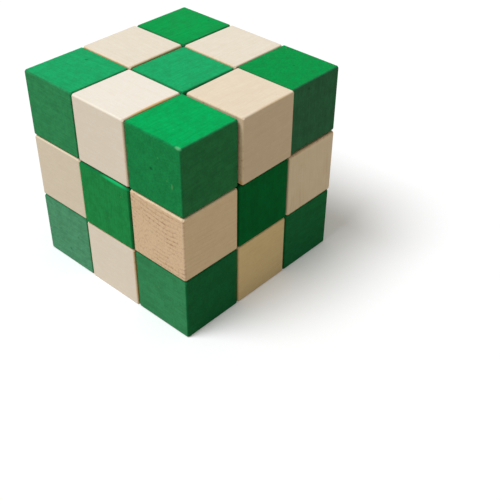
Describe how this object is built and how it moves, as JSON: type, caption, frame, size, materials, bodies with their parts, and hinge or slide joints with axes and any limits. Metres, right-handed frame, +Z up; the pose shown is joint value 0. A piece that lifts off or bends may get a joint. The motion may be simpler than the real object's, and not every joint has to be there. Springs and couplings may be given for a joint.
{
  "type": "wooden cube puzzle",
  "caption": "Folding cube puzzle: small green and pale wooden cubes threaded in a row on an elastic cord and folded into one solid block.",
  "frame": {"origin": "centre of the folded block's bottom face", "axes": "+Z up; the face with the cord's first cube is towards -X and -Y, the last cube is at the top towards +X and +Y"},
  "size_m": [0.0611, 0.0603, 0.0602],
  "materials": {
    "green_wood": "green stain, satin",
    "natural_wood": "bare sanded",
    "elastic_cord": "woven elastic",
    "plug_wood": "bare"
  },
  "bodies": {
    "middle": {"cube_07": "green_wood", "cube_08": "natural_wood", "cube_09": "green_wood", "cube_10": "natural_wood", "cube_11": "green_wood", "cube_12": "natural_wood", "cube_13": "green_wood", "cube_14": "natural_wood", "cube_15": "green_wood", "cube_16": "natural_wood", "cube_17": "green_wood", "cube_18": "natural_wood", "cube_19": "green_wood", "cord_middle": "elastic_cord"},
    "body_06": {"cube_06": "natural_wood", "cord_06": "elastic_cord"},
    "body_05": {"cube_05": "green_wood", "cord_05": "elastic_cord"},
    "body_04": {"cube_04": "natural_wood", "cord_04": "elastic_cord"},
    "body_03": {"cube_03": "green_wood", "cord_03": "elastic_cord"},
    "body_02": {"cube_02": "natural_wood", "cord_02": "elastic_cord"},
    "body_01": {"cube_01": "green_wood", "cord_01": "elastic_cord", "end_plug_01": "plug_wood"},
    "body_20": {"cube_20": "natural_wood", "cord_20": "elastic_cord"},
    "body_21": {"cube_21": "green_wood", "cord_21": "elastic_cord"},
    "body_22": {"cube_22": "natural_wood", "cord_22": "elastic_cord"},
    "body_23": {"cube_23": "green_wood", "cord_23": "elastic_cord"},
    "body_24": {"cube_24": "natural_wood", "cord_24": "elastic_cord"},
    "body_25": {"cube_25": "green_wood", "cord_25": "elastic_cord"},
    "body_26": {"cube_26": "natural_wood", "cord_26": "elastic_cord"},
    "body_27": {"cube_27": "green_wood", "cord_27": "elastic_cord", "end_plug_27": "plug_wood"}
  },
  "joints": [
    {"name": "pull_06", "type": "slide", "parent": "middle", "child": "body_06", "axis": [-1, 0, 0], "range_m": [0, 0.022], "stiffness_N_per_m": 20, "springref_m": -0.03},
    {"name": "pull_05", "type": "slide", "parent": "body_06", "child": "body_05", "axis": [-1, 0, 0], "range_m": [0, 0.03], "stiffness_N_per_m": 20, "springref_m": -0.03},
    {"name": "pull_04", "type": "slide", "parent": "body_05", "child": "body_04", "axis": [0, 0, 1], "range_m": [0, 0.022], "stiffness_N_per_m": 20, "springref_m": -0.03},
    {"name": "swing_03", "type": "hinge", "parent": "body_04", "child": "body_03", "pos_m": [-0.02, -0.02, 0.04985], "axis": [0, 1, 0], "range_deg": [0, 180]},
    {"name": "pull_02", "type": "slide", "parent": "body_03", "child": "body_02", "axis": [0, 0, -1], "range_m": [0, 0.022], "stiffness_N_per_m": 20, "springref_m": -0.03},
    {"name": "pull_01", "type": "slide", "parent": "body_02", "child": "body_01", "axis": [0, 0, -1], "range_m": [0, 0.022], "stiffness_N_per_m": 20, "springref_m": -0.03},
    {"name": "pull_20", "type": "slide", "parent": "middle", "child": "body_20", "axis": [1, 0, 0], "range_m": [0, 0.03], "stiffness_N_per_m": 20, "springref_m": -0.03},
    {"name": "pull_21", "type": "slide", "parent": "body_20", "child": "body_21", "axis": [1, 0, 0], "range_m": [0, 0.022], "stiffness_N_per_m": 20, "springref_m": -0.03},
    {"name": "pull_22", "type": "slide", "parent": "body_21", "child": "body_22", "axis": [0, -1, 0], "range_m": [0, 0.022], "stiffness_N_per_m": 20, "springref_m": -0.03},
    {"name": "pull_23", "type": "slide", "parent": "body_22", "child": "body_23", "axis": [0, -1, 0], "range_m": [0, 0.022], "stiffness_N_per_m": 20, "springref_m": -0.03},
    {"name": "pull_24", "type": "slide", "parent": "body_23", "child": "body_24", "axis": [0, 0, 1], "range_m": [0, 0.022], "stiffness_N_per_m": 20, "springref_m": -0.03},
    {"name": "swing_25", "type": "hinge", "parent": "body_24", "child": "body_25", "pos_m": [0.02, -0.02, 0.04985], "axis": [0, 0, -1], "range_deg": [0, 180]},
    {"name": "pull_26", "type": "slide", "parent": "body_25", "child": "body_26", "axis": [0, 1, 0], "range_m": [0, 0.022], "stiffness_N_per_m": 20, "springref_m": -0.03},
    {"name": "pull_27", "type": "slide", "parent": "body_26", "child": "body_27", "axis": [0, 1, 0], "range_m": [0, 0.022], "stiffness_N_per_m": 20, "springref_m": -0.03}
  ],
  "couplings": [
    {"joint": "swing_03", "follows": "pull_05", "rad_per_m": 104.7},
    {"joint": "swing_25", "follows": "pull_20", "rad_per_m": 104.7}
  ]
}
